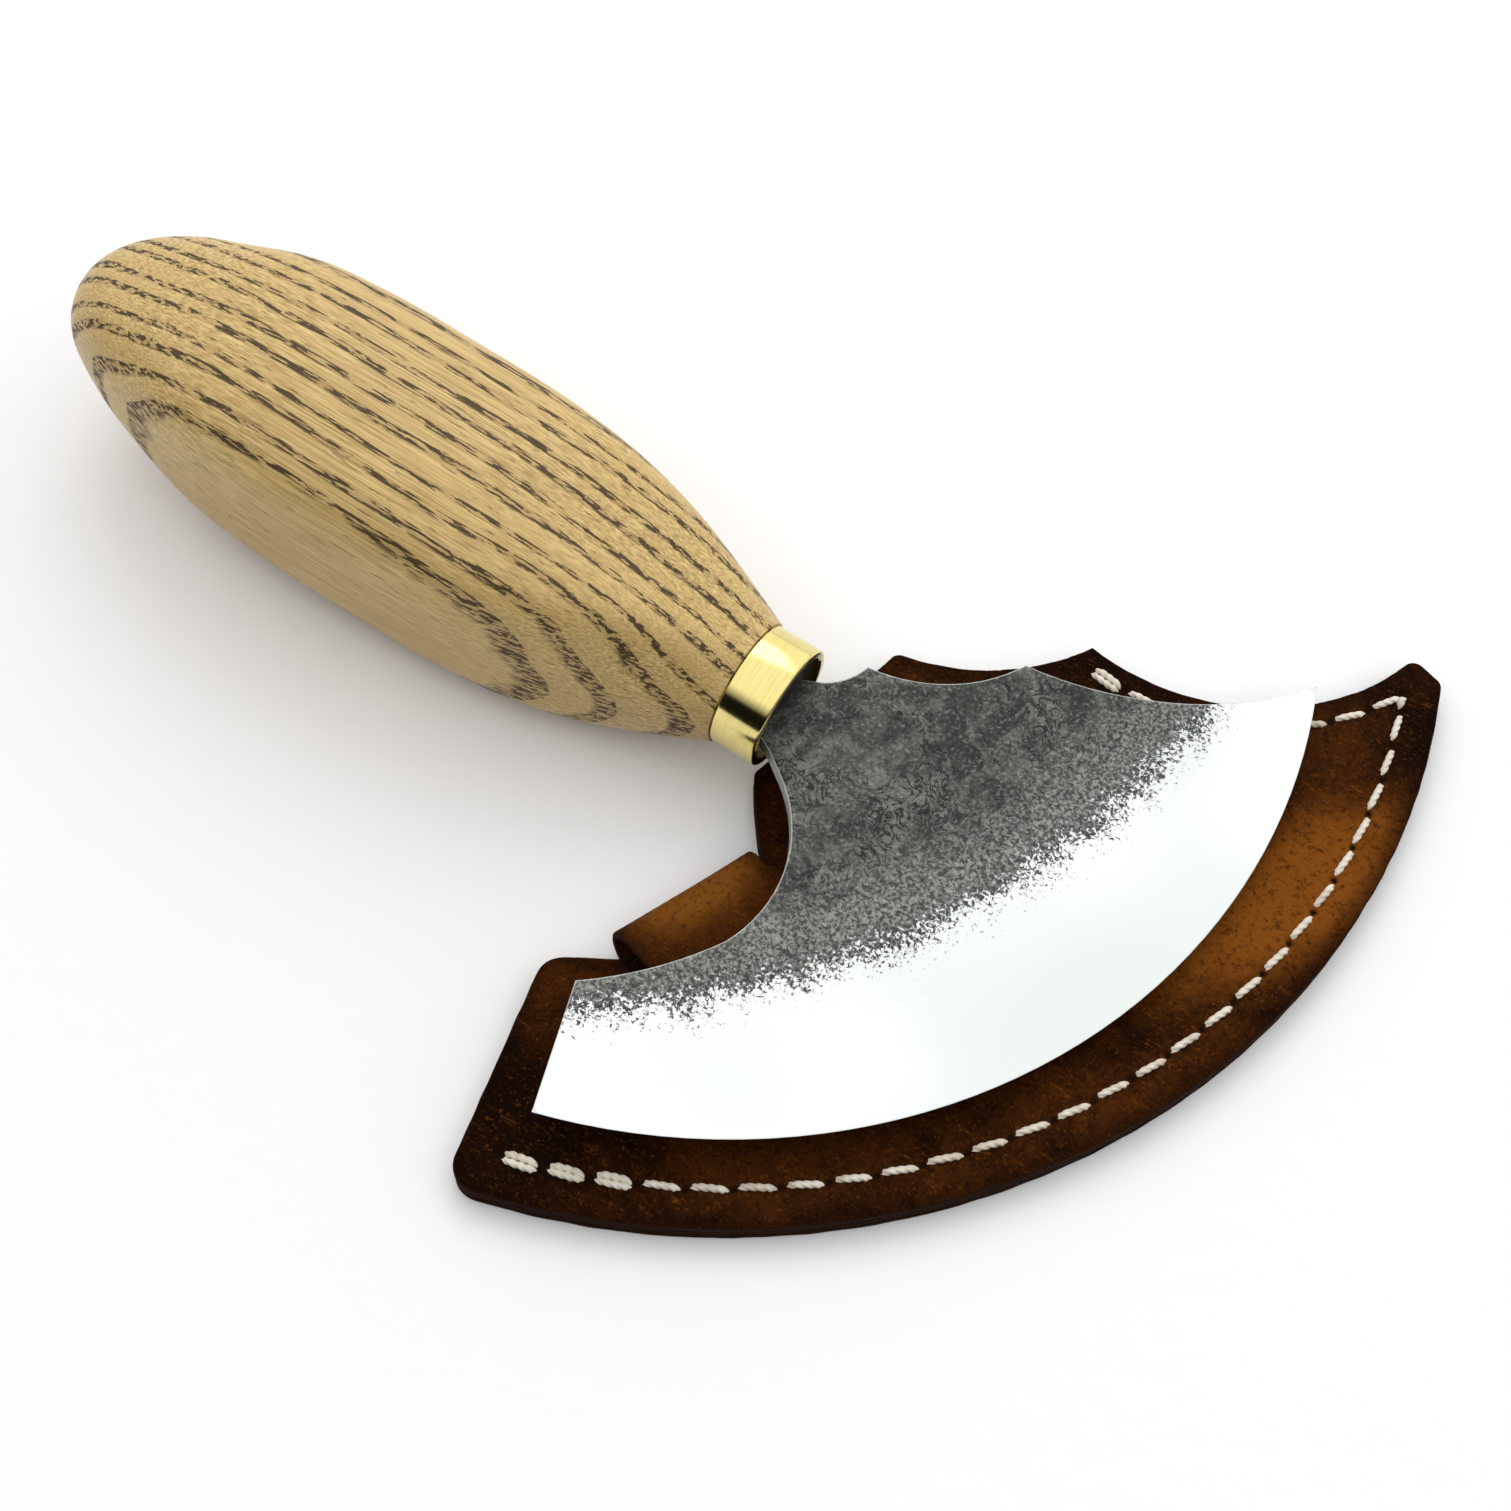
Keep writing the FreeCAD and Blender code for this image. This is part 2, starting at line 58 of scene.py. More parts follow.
class Finish:
    """A material, with short calls that add its nodes."""

    def __init__(self, name):
        self.material = bpy.data.materials.new(name)
        self.material.use_nodes = True
        self.tree = self.material.node_tree
        self.tree.nodes.clear()
        self.place = self.add("ShaderNodeTexCoord").outputs["Object"]

    def add(self, kind, inputs=None, **settings):
        node = self.tree.nodes.new(kind)
        for key, value in settings.items():
            setattr(node, key, value)
        for key, value in (inputs or {}).items():
            self.feed(node.inputs[key], value)
        return node

    def feed(self, socket, value):
        if isinstance(value, bpy.types.NodeSocket):
            self.tree.links.new(value, socket)
        else:
            socket.default_value = value

    def seen_from(self, origin, turn=(0, 0, 0), grain=(1, 1, 1)):
        """Places measured from an origin along turned axes, in units of the grain's length each way."""
        return self.add("ShaderNodeMapping", {"Vector": self.place, "Location": origin, "Rotation": turn,
                                              "Scale": grain}, vector_type="TEXTURE").outputs[0]

    def sized(self, vector, grain):
        return self.add("ShaderNodeMapping", {"Vector": vector, "Scale": grain},
                        vector_type="TEXTURE").outputs[0]

    def noise(self, vector, size=1.0, detail=3.0, roughness=0.5, distortion=0.0):
        settings = {"Vector": vector, "Scale": 1 / size, "Detail": detail, "Roughness": roughness,
                    "Distortion": distortion}
        return self.add("ShaderNodeTexNoise", settings).outputs["Fac"]

    def math(self, operation, *values):
        return self.add("ShaderNodeMath", dict(enumerate(values)), operation=operation).outputs[0]

    def span(self, value, low, high, out_low=0.0, out_high=1.0):
        """The value from low to high becomes out_low to out_high, smoothly, and stays there past them."""
        return self.add("ShaderNodeMapRange", {"Value": value, "From Min": low, "From Max": high,
                                               "To Min": out_low, "To Max": out_high},
                        interpolation_type="SMOOTHSTEP").outputs[0]

    def mix(self, share, first, second):
        node = self.add("ShaderNodeMix", data_type="RGBA")
        self.feed(node.inputs[0], share)
        self.feed(node.inputs[6], first)
        self.feed(node.inputs[7], second)
        return node.outputs[2]

    def axes(self, vector):
        return self.add("ShaderNodeSeparateXYZ", {"Vector": vector}).outputs

    def distance(self, vector):
        return self.add("ShaderNodeVectorMath", {"Vector": vector}, operation="LENGTH").outputs["Value"]

    def attribute(self, name):
        return self.add("ShaderNodeAttribute", attribute_name=name).outputs["Fac"]

    def bump(self, height, depth, strength=1.0, normal=None):
        node = self.add("ShaderNodeBump", {"Height": height, "Distance": depth, "Strength": strength})
        if normal:
            self.feed(node.inputs["Normal"], normal)
        return node.outputs["Normal"]

    def done(self, **inputs):
        shader = self.add("ShaderNodeBsdfPrincipled")
        for key, value in inputs.items():
            self.feed(shader.inputs[key.replace("_", " ")], value)
        self.add("ShaderNodeOutputMaterial", {"Surface": shader.outputs[0]})
        return self.material


def rgb(red, green, blue):
    return (red, green, blue, 1.0)


def show(name, vertices, faces, material, smooth_angle=40.0):
    """Link a mesh made of these vertices and faces, shaded smooth up to the given angle."""
    mesh = bpy.data.meshes.new(name)
    mesh.from_pydata([tuple(v) for v in vertices], [], faces)
    mesh.materials.append(material)
    mesh.shade_smooth()
    mesh.set_sharp_from_angle(angle=math.radians(smooth_angle))
    piece = bpy.data.objects.new(name, mesh)
    bpy.context.scene.collection.objects.link(piece)
    return piece


white_cloth = Finish("white_cloth")
cloth_relief = white_cloth.noise(white_cloth.place, 0.004, 2.0)
table_half = 2.5
table = show("table", [(-table_half, -table_half, 0), (table_half, -table_half, 0),
                       (table_half, table_half, 0), (-table_half, table_half, 0)], [(0, 1, 2, 3)],
             white_cloth.done(Base_Color=rgb(0.9, 0.9, 0.9), Roughness=0.8,
                              Normal=white_cloth.bump(cloth_relief, 0.0001)))

room = bpy.data.worlds.new("room")
room.use_nodes = True
sky = room.node_tree.nodes
sky_links = room.node_tree.links
looking = sky.new("ShaderNodeTexCoord").outputs["Generated"]
openness = sky.new("ShaderNodeVectorMath")
openness.operation = "DOT_PRODUCT"
openness.inputs[1].default_value = (-0.08, 0.35, 0.93)
sky_links.new(looking, openness.inputs[0])
brightness = sky.new("ShaderNodeValToRGB")
brightness.color_ramp.elements[0].position = 0.15
brightness.color_ramp.elements[0].color = rgb(0.004, 0.004, 0.004)
brightness.color_ramp.elements[1].position = 0.48
brightness.color_ramp.elements[1].color = rgb(1.0, 1.0, 1.0)
sky_links.new(openness.outputs["Value"], brightness.inputs[0])
backdrop = sky.new("ShaderNodeMix")
backdrop.data_type = "RGBA"
sky_links.new(sky.new("ShaderNodeLightPath").outputs["Is Camera Ray"], backdrop.inputs[0])
sky_links.new(brightness.outputs[0], backdrop.inputs[6])
backdrop.inputs[7].default_value = rgb(0.84, 0.84, 0.84)
sky_links.new(backdrop.outputs[2], sky["Background"].inputs["Color"])
sky["Background"].inputs["Strength"].default_value = 1.23
bpy.context.scene.world = room

camera_aim = Vector((0.01858, 0.00276, 0.0040))
camera_away = 0.3042
camera_turn = (Matrix.Rotation(math.radians(29.6), 4, "Z") @ Matrix.Rotation(math.radians(29.5), 4, "X")
               @ Matrix.Rotation(math.radians(4.0), 4, "Z"))


def soft_lamp(name, toward, away, size, power):
    """A square lamp that shines at the knife from the given direction."""
    light = bpy.data.lights.new(name, "AREA")
    light.shape = "SQUARE"
    light.size = size
    light.energy = power
    lamp = bpy.data.objects.new(name, light)
    direction = Vector(toward).normalized()
    lamp.location = camera_aim + away * direction
    lamp.rotation_euler = direction.to_track_quat("Z", "Y").to_euler()
    bpy.context.scene.collection.objects.link(lamp)


soft_lamp("high_back_lamp", (-0.34, 0.58, 0.74), 1.1, 0.60, 1.7)

lens = bpy.data.cameras.new("camera")
lens.sensor_width = 36.0
lens.lens = 52.42
camera = bpy.data.objects.new("camera", lens)
camera.matrix_world = Matrix.Translation(camera_aim) @ camera_turn @ Matrix.Translation((0, 0, camera_away))
bpy.context.scene.collection.objects.link(camera)
bpy.context.scene.camera = camera
bpy.context.scene.view_settings.view_transform = "Standard"


# ---- Back panel of the sheath ----
# The larger half of one piece of waxed pull-up leather, 1.4 mm thick, cut with a knife and left raw at
# its edges. It lies flat on the table with its smooth side down.

def outline_of(node, spacing, plan=Matrix.Identity(4)):
    """A CAD plate's outer edge seen from above its plan, anticlockwise, with a point every spacing."""
    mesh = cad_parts[node].data
    corners = [tuple(round(value, 7) for value in plan @ vertex.co) for vertex in mesh.vertices]
    turned_plan = plan.to_3x3()
    uses = {}
    for face in mesh.polygons:
        if (turned_plan @ face.normal).z > 0.5:
            ring = [corners[index] for index in face.vertices]
            for first, second in zip(ring, ring[1:] + ring[:1]):
                uses[(first, second)] = uses.get((first, second), 0) + 1
    following = {first: second for first, second in uses if (second, first) not in uses}
    longest = []
    while following:
        start = min(following)
        loop = [start]
        while loop[-1] in following:
            loop.append(following.pop(loop[-1]))
        if len(loop) > len(longest):
            longest = loop
    ring = np.array(longest[:-1])[:, :2]
    following_ring = np.roll(ring, -1, 0)
    points = []
    for first, second in zip(ring, following_ring):
        count = max(1, int(np.linalg.norm(second - first) / spacing + 0.5))
        points += [first + (second - first) * step / count for step in range(count)]
    return np.array(points)


def edge_distance(points, outline):
    """Distance of each point from the outline, above zero inside it."""
    nearest = np.full(len(points), 1e9)
    crossings = np.zeros(len(points), int)
    for first, second in zip(outline, np.roll(outline, -1, 0)):
        run = second - first
        share = np.clip((points - first) @ run / (run @ run + 1e-18), 0, 1)
        nearest = np.minimum(nearest, np.linalg.norm(points - first - share[:, None] * run, axis=1))
        if first[1] != second[1]:
            across = first[0] + (points[:, 1] - first[1]) * run[0] / run[1]
            crossings += ((first[1] > points[:, 1]) != (second[1] > points[:, 1])) & (points[:, 0] < across)
    return np.where(crossings % 2 == 1, nearest, -nearest)


def inset(outline, depth):
    """The outline moved inwards by depth, with its corners mitred."""
    before = outline - np.roll(outline, 1, 0)
    after = np.roll(outline, -1, 0) - outline
    before /= np.linalg.norm(before, axis=1)[:, None]
    after /= np.linalg.norm(after, axis=1)[:, None]
    inward = np.stack([-(before + after)[:, 1], (before + after)[:, 0]], 1)
    size = np.linalg.norm(inward, axis=1)
    inward /= size[:, None]
    return outline + depth * inward / np.clip(size[:, None] / 2, 0.6, 1)


def spread(outline, spacing):
    """Points in a triangular pattern that covers the outline's box."""
    low = outline.min(0)
    high = outline.max(0)
    rows = np.arange(low[1], high[1], spacing * 0.866)
    columns = np.arange(low[0], high[0], spacing)
    x, y = np.meshgrid(columns, rows)
    x[1::2] += spacing / 2
    return np.stack([x.ravel(), y.ravel()], 1)


def waves(points, length, seed):
    """Slow ups and downs from -1 to 1 over a plan, about length apart."""
    draw = np.random.default_rng(seed)
    total = np.zeros(len(points))
    count = 7
    turns = draw.uniform(0, math.pi, count)
    phases = draw.uniform(0, 6.3, count)
    stretches = draw.uniform(0.6, 1.7, count)
    for turn, phase, stretch in zip(turns, phases, stretches):
        along = points @ np.array([math.cos(turn), math.sin(turn)])
        total += np.sin(2 * math.pi * along / (length * stretch) + phase)
    return total / 4


def plate(outline, fill, heights, rounding):
    """Vertices, faces and rim distances of a closed plate. heights gives its lower and upper side."""
    rings = [inset(outline, rounding * share) for share in (0.12, 0.4, 1.0)]
    middle = np.concatenate(rings + [fill])
    middle = middle[edge_distance(middle, outline) > rounding * 0.1]
    edge_count = len(outline)
    everything = np.concatenate([outline, middle])
    edges = [(i, (i + 1) % edge_count) for i in range(edge_count)]
    meshed = delaunay_2d_cdt([Vector(p) for p in everything], edges, [], 1, 1e-7)
    points = meshed[0]
    triangles = meshed[2]
    plan = np.array([(p.x, p.y) for p in points])
    rim = np.maximum(edge_distance(plan, outline), 0)
    low, high = heights(plan)
    inward = np.clip(rim / rounding, 0, 1)
    drop = np.minimum(rounding, (high - low) * 0.42) * (1 - np.sqrt(1 - (1 - inward) ** 2))
    count = len(plan)
    vertices = np.concatenate([np.column_stack([plan, high - drop]), np.column_stack([plan, low + drop])])
    faces = []
    uses = set()
    for face in triangles:
        a, b, c = (plan[index] for index in face)
        if (b[0] - a[0]) * (c[1] - a[1]) - (b[1] - a[1]) * (c[0] - a[0]) < 0:
            face = face[::-1]
        faces.append(tuple(face))
        faces.append(tuple(index + count for index in face[::-1]))
        uses.update(zip(face, face[1:] + face[:1]))
    for first, second in sorted(uses):
        if (second, first) not in uses:
            faces.append((second, first, first + count, second + count))
    return vertices, faces, np.concatenate([rim, rim])


def store(piece, name, values):
    """Keep one number for each vertex, for the piece's material to read."""
    layer = piece.data.attributes.new(name, "FLOAT", "POINT")
    layer.data.foreach_set("value", np.asarray(values, np.float32))


def waxed_leather(name, dark, middle, light, patch):
    """Pull-up leather: dark at its raw edges, with painted shade in its awl holes, lighter where it was bent
    and rubbed.
    """
    hide = Finish(name)
    rim = hide.attribute("rim")
    wide = hide.noise(hide.place, 0.034, 3.0, 0.6, 0.4)
    blotch = hide.noise(hide.place, 0.0075, 7.0, 0.7, 0.6)
    fine = hide.noise(hide.place, 0.0009, 5.0, 0.72)
    tone = hide.math("ADD", hide.math("MULTIPLY", wide, 1.2), hide.math("MULTIPLY", blotch, 0.8))
    colour = hide.mix(hide.span(tone, 0.78, 1.2), rgb(*dark), rgb(*middle))
    to_patch = hide.distance(hide.seen_from(patch[0], (0, 0, patch[1]), patch[2]))
    worn = hide.math("SUBTRACT", hide.math("ADD", to_patch, hide.math("MULTIPLY", blotch, 0.9)), 0.45)
    colour = hide.mix(hide.span(worn, 1.05, 0.35), colour, rgb(*light))
    scuffs = hide.noise(hide.sized(hide.place, (0.0042, 0.0011, 0.003)), 1.0, 5.0, 0.7, 1.6)
    colour = hide.mix(hide.span(scuffs, 0.57, 0.72, 0, 0.55), colour, rgb(*light))
    colour = hide.mix(hide.span(fine, 0.52, 0.3, 0, 0.75), colour, rgb(*dark))
    nap = hide.noise(hide.place, 0.00045, 3.0, 0.7)
    colour = hide.mix(hide.span(nap, 0.56, 0.74, 0, 0.55), colour, rgb(*light))
    near_rim = hide.math("ADD", rim, hide.math("MULTIPLY", hide.math("SUBTRACT", blotch, 0.5), 0.004))
    colour = hide.mix(hide.span(near_rim, 0.0030, 0.0002, 0, 0.55), colour, rgb(*[0.6 * c for c in dark]))
    colour = hide.mix(hide.span(rim, 0.00032, 0.00005, 0, 0.85), colour, rgb(0.022, 0.009, 0.005))
    # Painted shade: round each awl hole the leather is darkened nearly to black, in place of the shade inside
    # the hole.
    colour = hide.mix(hide.span(hide.attribute("awl"), 0.25, 0.85), colour, rgb(0.012, 0.005, 0.003))
    pores = hide.add("ShaderNodeTexVoronoi", {"Vector": hide.place, "Scale": 1400.0},
                     feature="DISTANCE_TO_EDGE").outputs["Distance"]
    grain = hide.math("ADD", hide.span(pores, 0.0, 0.16, 0, 0.7), fine)
    creases = hide.noise(hide.place, 0.0032, 6.0, 0.7, 0.5)
    normal = hide.bump(grain, 0.00007, 0.8, hide.bump(creases, 0.00035, 0.6))
    return hide.done(Base_Color=colour, Roughness=hide.span(blotch, 0.35, 0.7, 0.62, 0.8), Normal=normal,
                     Specular_IOR_Level=0.02)


rubbed_place = ((0.0885, 0.024, 0.004), 1.15, (0.03, 0.012, 0.02))
body_leather = waxed_leather("brown_leather", (0.0075, 0.0022, 0.0006), (0.052, 0.0145, 0.0022),
                             (0.20, 0.060, 0.0062), rubbed_place)
cut_edge = 0.00035
back_low, back_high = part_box("back_panel")
back_outline = inset(outline_of("back_panel", 0.0008), 0.00012)
back_outline = inset(back_outline, 0.00006) + 0.00005 * np.column_stack([waves(back_outline, 0.006, 1),
                                                                         waves(back_outline, 0.006, 2)])


def back_heights(plan):
    slack = 0.00006 * waves(plan, 0.03, 3)
    return np.full(len(plan), back_low.z) + 0.0001 + slack, np.full(len(plan), back_high.z) - 0.00002


vertices, faces, rim = plate(back_outline, spread(back_outline, 0.0016), back_heights, cut_edge)
back_panel = show("sheath_back", vertices, faces, body_leather)
store(back_panel, "rim", rim)
store(back_panel, "awl", 0 * rim)
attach(back_panel, "sheath")
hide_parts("back_panel")


# ---- Welt ----
# A strip of the same leather, glued between the two panels along the blade's edge, so that the edge
# can't cut the stitches. Only its raw outer edge shows.

welt_edge = 0.0003
welt_low, welt_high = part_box("welt")
welt_outline = inset(outline_of("welt", 0.0009), 0.00022)
welt_outline += 0.00007 * np.column_stack([waves(welt_outline, 0.005, 4), waves(welt_outline, 0.005, 5)])


def welt_heights(plan):
    return np.full(len(plan), welt_low.z), np.full(len(plan), welt_high.z)


vertices, faces, rim = plate(welt_outline, spread(welt_outline, 0.003), welt_heights, welt_edge)
welt = show("sheath_welt", vertices, faces, body_leather)
store(welt, "rim", rim)
store(welt, "awl", 0 * rim)
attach(welt, "sheath")
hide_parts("welt")


# ---- Front panel ----
# The upper half of the pouch, 1.4 mm leather. Every stitch pulls it down a little, and each awl hole
# is a dimple with raised lips, darkened with painted shade.

def loose_parts(node):
    """The vertices of each separate solid in a CAD node, as arrays."""
    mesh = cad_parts[node].data
    corners = [tuple(round(value, 7) for value in vertex.co) for vertex in mesh.vertices]
    leader = {corner: corner for corner in corners}

    def first_of(corner):
        while leader[corner] != corner:
            leader[corner] = leader[leader[corner]]
            corner = leader[corner]
        return corner

    for face in mesh.polygons:
        ring = [first_of(corners[index]) for index in face.vertices]
        for corner in ring[1:]:
            leader[first_of(corner)] = first_of(ring[0])
    parts = {}
    for corner in leader:
        parts.setdefault(first_of(corner), []).append(corner)
    return [np.array(parts[key]) for key in sorted(parts)]


def stitch_of(part):
    """Middle, direction, half length and width of one stitch."""
    middle = (part.min(0) + part.max(0)) / 2
    flat = part[:, :2] - part[:, :2].mean(0)
    along = np.linalg.svd(flat, full_matrices=False)[2][0]
    along = along if along[0] > 0 else -along
    reach = flat @ along
    width = flat @ np.array([-along[1], along[0]])
    middle[:2] = part[:, :2].mean(0) + along * (reach.max() + reach.min()) / 2
    return middle[:2], along, (reach.max() - reach.min()) / 2, width.max() - width.min()


hole_gap = 0.0009
front_stitches = [stitch_of(part) for part in loose_parts("front_thread")]
front_holes = np.array([middle + side * (half + hole_gap / 2) * along
                        for middle, along, half, _ in front_stitches for side in (-1, 1)])
front_low, front_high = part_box("front_panel")
front_outline = inset(outline_of("front_panel", 0.0007), 0.0001)
front_outline = inset(front_outline, 0.00006) + 0.00006 * np.column_stack([waves(front_outline, 0.005, 6),
                                                                           waves(front_outline, 0.005, 7)])


def nearest_hole(plan):
    nearest = np.full(len(plan), 1.0)
    for hole in front_holes:
        nearest = np.minimum(nearest, np.linalg.norm(plan - hole, axis=1))
    return nearest


def seam_distance(plan):
    """Distance of each point from the nearest stitch's own line."""
    nearest = np.full(len(plan), 1.0)
    for middle, along, half, _ in front_stitches:
        share = np.clip((plan - middle) @ along, -half, half)
        nearest = np.minimum(nearest, np.linalg.norm(plan - middle - share[:, None] * along, axis=1))
    return nearest


def front_heights(plan):
    hole = nearest_hole(plan)
    seam = seam_distance(plan)
    pulled = 0.00016 * np.exp(-(seam / 0.0013) ** 2) + 0.0005 * np.exp(-(hole / 0.00045) ** 2)
    lips = 0.00008 * np.exp(-((hole - 0.0011) / 0.0004) ** 2)
    slack = 0.00007 * waves(plan, 0.022, 8) - 0.00008
    return np.full(len(plan), front_low.z), front_high.z - pulled + lips + slack


coarse = spread(front_outline, 0.0014)
fine = spread(front_outline, 0.00036)
fine = fine[seam_distance(fine) < 0.0017]
coarse = coarse[seam_distance(coarse) > 0.0018]
vertices, faces, rim = plate(front_outline, np.concatenate([coarse, fine]), front_heights, cut_edge)
front_panel = show("sheath_front", vertices, faces, body_leather)
store(front_panel, "rim", rim)
# awl: closeness to the nearest awl hole, where the leather's material paints shade.
store(front_panel, "awl", np.exp(-(nearest_hole(vertices[:, :2]) / 0.0006) ** 2))
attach(front_panel, "sheath")
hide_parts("front_panel")


# ---- Press stud on the front panel ----
# Turned and pressed brass, antiqued: the stud with its nub sits on the leather, and the post comes up
# through it from inside the pocket and is peened over.

def turned(name, profile, material, place=Matrix.Identity(4), steps=72):
    """Revolve a closed profile of (radius, height) about Z, then put it in its place."""
    vertices = []
    for radius, height in profile:
        for step in range(steps):
            turn = 2 * math.pi * step / steps
            vertices.append(place @ Vector((radius * math.cos(turn), radius * math.sin(turn), height)))
    faces = []
    rows = len(profile)
    for row in range(rows):
        for step in range(steps):
            a = row * steps + step
            b = row * steps + (step + 1) % steps
            faces.append((a, b, (b + steps) % (rows * steps), (a + steps) % (rows * steps)))
    return show(name, vertices, faces, material, 28.0)


def antique_brass():
    brass = Finish("stud_brass")
    tarnish = brass.noise(brass.place, 0.0032, 5.0, 0.6)
    colour = brass.mix(brass.span(tarnish, 0.3, 0.7), rgb(0.24, 0.165, 0.07), rgb(0.46, 0.33, 0.15))
    scratches = brass.noise(brass.sized(brass.place, (0.0004, 0.003, 0.003)), 1.0, 4.0)
    return brass.done(Base_Color=colour, Metallic=1.0, Roughness=brass.span(tarnish, 0.35, 0.65, 0.5, 0.28),
                      Normal=brass.bump(scratches, 0.000008, 0.5))


stud_brass = antique_brass()
stud_low, stud_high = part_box("snap_stud")
stud_middle = (stud_low + stud_high) / 2
for name in ("snap_stud", "snap_post"):
    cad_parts[name].data.materials[0] = stud_brass


# ---- Closing flap with its mouth fold ----
# The back panel's leather comes up over the mouth in a soft half roll and runs on as a tongue that
# closes over the front. It is one strip; here the roll and the tongue are one fixed mesh, and the tongue
# doesn't open.

fold_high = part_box("mouth_fold")[1]
fold_left = Vector((0.020748, -0.032531))
fold_right = Vector((0.029348, -0.011631))
fold_along = (fold_right - fold_left).normalized()
fold_inward = Vector((fold_along.y, -fold_along.x))
fold_length = (fold_right - fold_left).length
leather = back_high.z - back_low.z
roll_outer = fold_high.z / 2
roll_middle = roll_outer - leather / 2
roll_length = math.pi * roll_middle
flap_length = 0.0360
flap_flare = 0.0050
flap_end_half = 0.0090
strip_slack = 0.00012
stud_along = (Vector(stud_middle.xy) - fold_left).dot(fold_along)


def strip_outline():
    """The strip laid flat: distance from the roll's foot, and along the mouth from its left end."""
    straight = roll_length + flap_length - flap_end_half
    corners = [(0, 0), (straight, stud_along - flap_end_half)]
    for step in range(1, 12):
        turn = math.pi * step / 12
        far = straight + flap_end_half * math.sin(turn)
        corners.append((far, stud_along - flap_end_half * math.cos(turn)))
    corners += [(straight, stud_along + flap_end_half), (roll_length + flap_flare, fold_length + flap_flare),
                (roll_length + 0.0003, fold_length), (0, fold_length)]
    points = []
    for first, second in zip(corners, corners[1:] + corners[:1]):
        first = Vector(first)
        second = Vector(second)
        count = max(1, int((second - first).length / 0.0007))
        points += [first.lerp(second, step / count) for step in range(count)]
    return np.array([tuple(point) for point in points])


def strip_heights(plan):
    limp = 0.00005 * waves(plan, 0.012, 9)
    return limp - leather / 2 + strip_slack, limp + leather / 2 - strip_slack


def rolled(point):
    """A point of the flat strip, bent up over the mouth."""
    far, along, height = point
    if far < roll_length:
        turn = far / roll_middle
        inward = -(roll_middle + height) * math.sin(turn)
        up = roll_outer - (roll_middle + height) * math.cos(turn)
    else:
        inward = far - roll_length
        up = roll_outer + roll_middle + height
    place = fold_left + fold_inward * inward + fold_along * along
    return Vector((place.x, place.y, up))


bent_place = ((0.024, -0.02, 0.007), 1.18, (0.012, 0.006, 0.02))
flap_leather = waxed_leather("flap_leather", (0.020, 0.0055, 0.0011), (0.070, 0.0200, 0.0028),
                             (0.18, 0.062, 0.0085), bent_place)
flat_outline = inset(strip_outline(), strip_slack)
vertices, faces, rim = plate(flat_outline, spread(flat_outline, 0.0008), strip_heights, cut_edge)
flap = show("closing_strap", [rolled(vertex) for vertex in vertices], faces, flap_leather)
store(flap, "rim", rim)
store(flap, "awl", 0 * rim)
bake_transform(flap)
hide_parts("closing_flap", "mouth_fold")


# ---- Cap and socket on the flap ----
# The domed cap is pressed from thin brass and riveted through the flap to the socket ring, which
# snaps over the stud's nub.

cap_low, cap_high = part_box("snap_cap")
cap_radius = (cap_high.x - cap_low.x) / 2
cap_height = cap_high.z - fold_high.z
cap_place = Matrix.Translation((stud_middle.x, stud_middle.y, fold_high.z))
rivet_radius = 0.0016
dome = [(cap_radius * math.sin(turn), cap_height * (0.33 + 0.67 * math.cos(turn)))
        for turn in np.linspace(math.pi / 2, 0.004, 12)]
rivet_end = cap_low.z - fold_high.z
cap_profile = ([(cap_radius - 0.0003, 0.0), (cap_radius, 0.0002)] + dome
               + [(0.00001, rivet_end), (rivet_radius, rivet_end), (rivet_radius, 0.0)])
cap = turned("stud_cap", cap_profile, stud_brass, cap_place)
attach(cap, "flap")
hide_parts("snap_cap")
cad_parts["snap_socket"].data.materials[0] = stud_brass


# ---- Saddle stitching ----
# Waxed linen thread of three plies, off-white. Each stitch comes up out of one awl hole and goes down
# the next, at a slight slant, and the first three and the last are sewn twice.

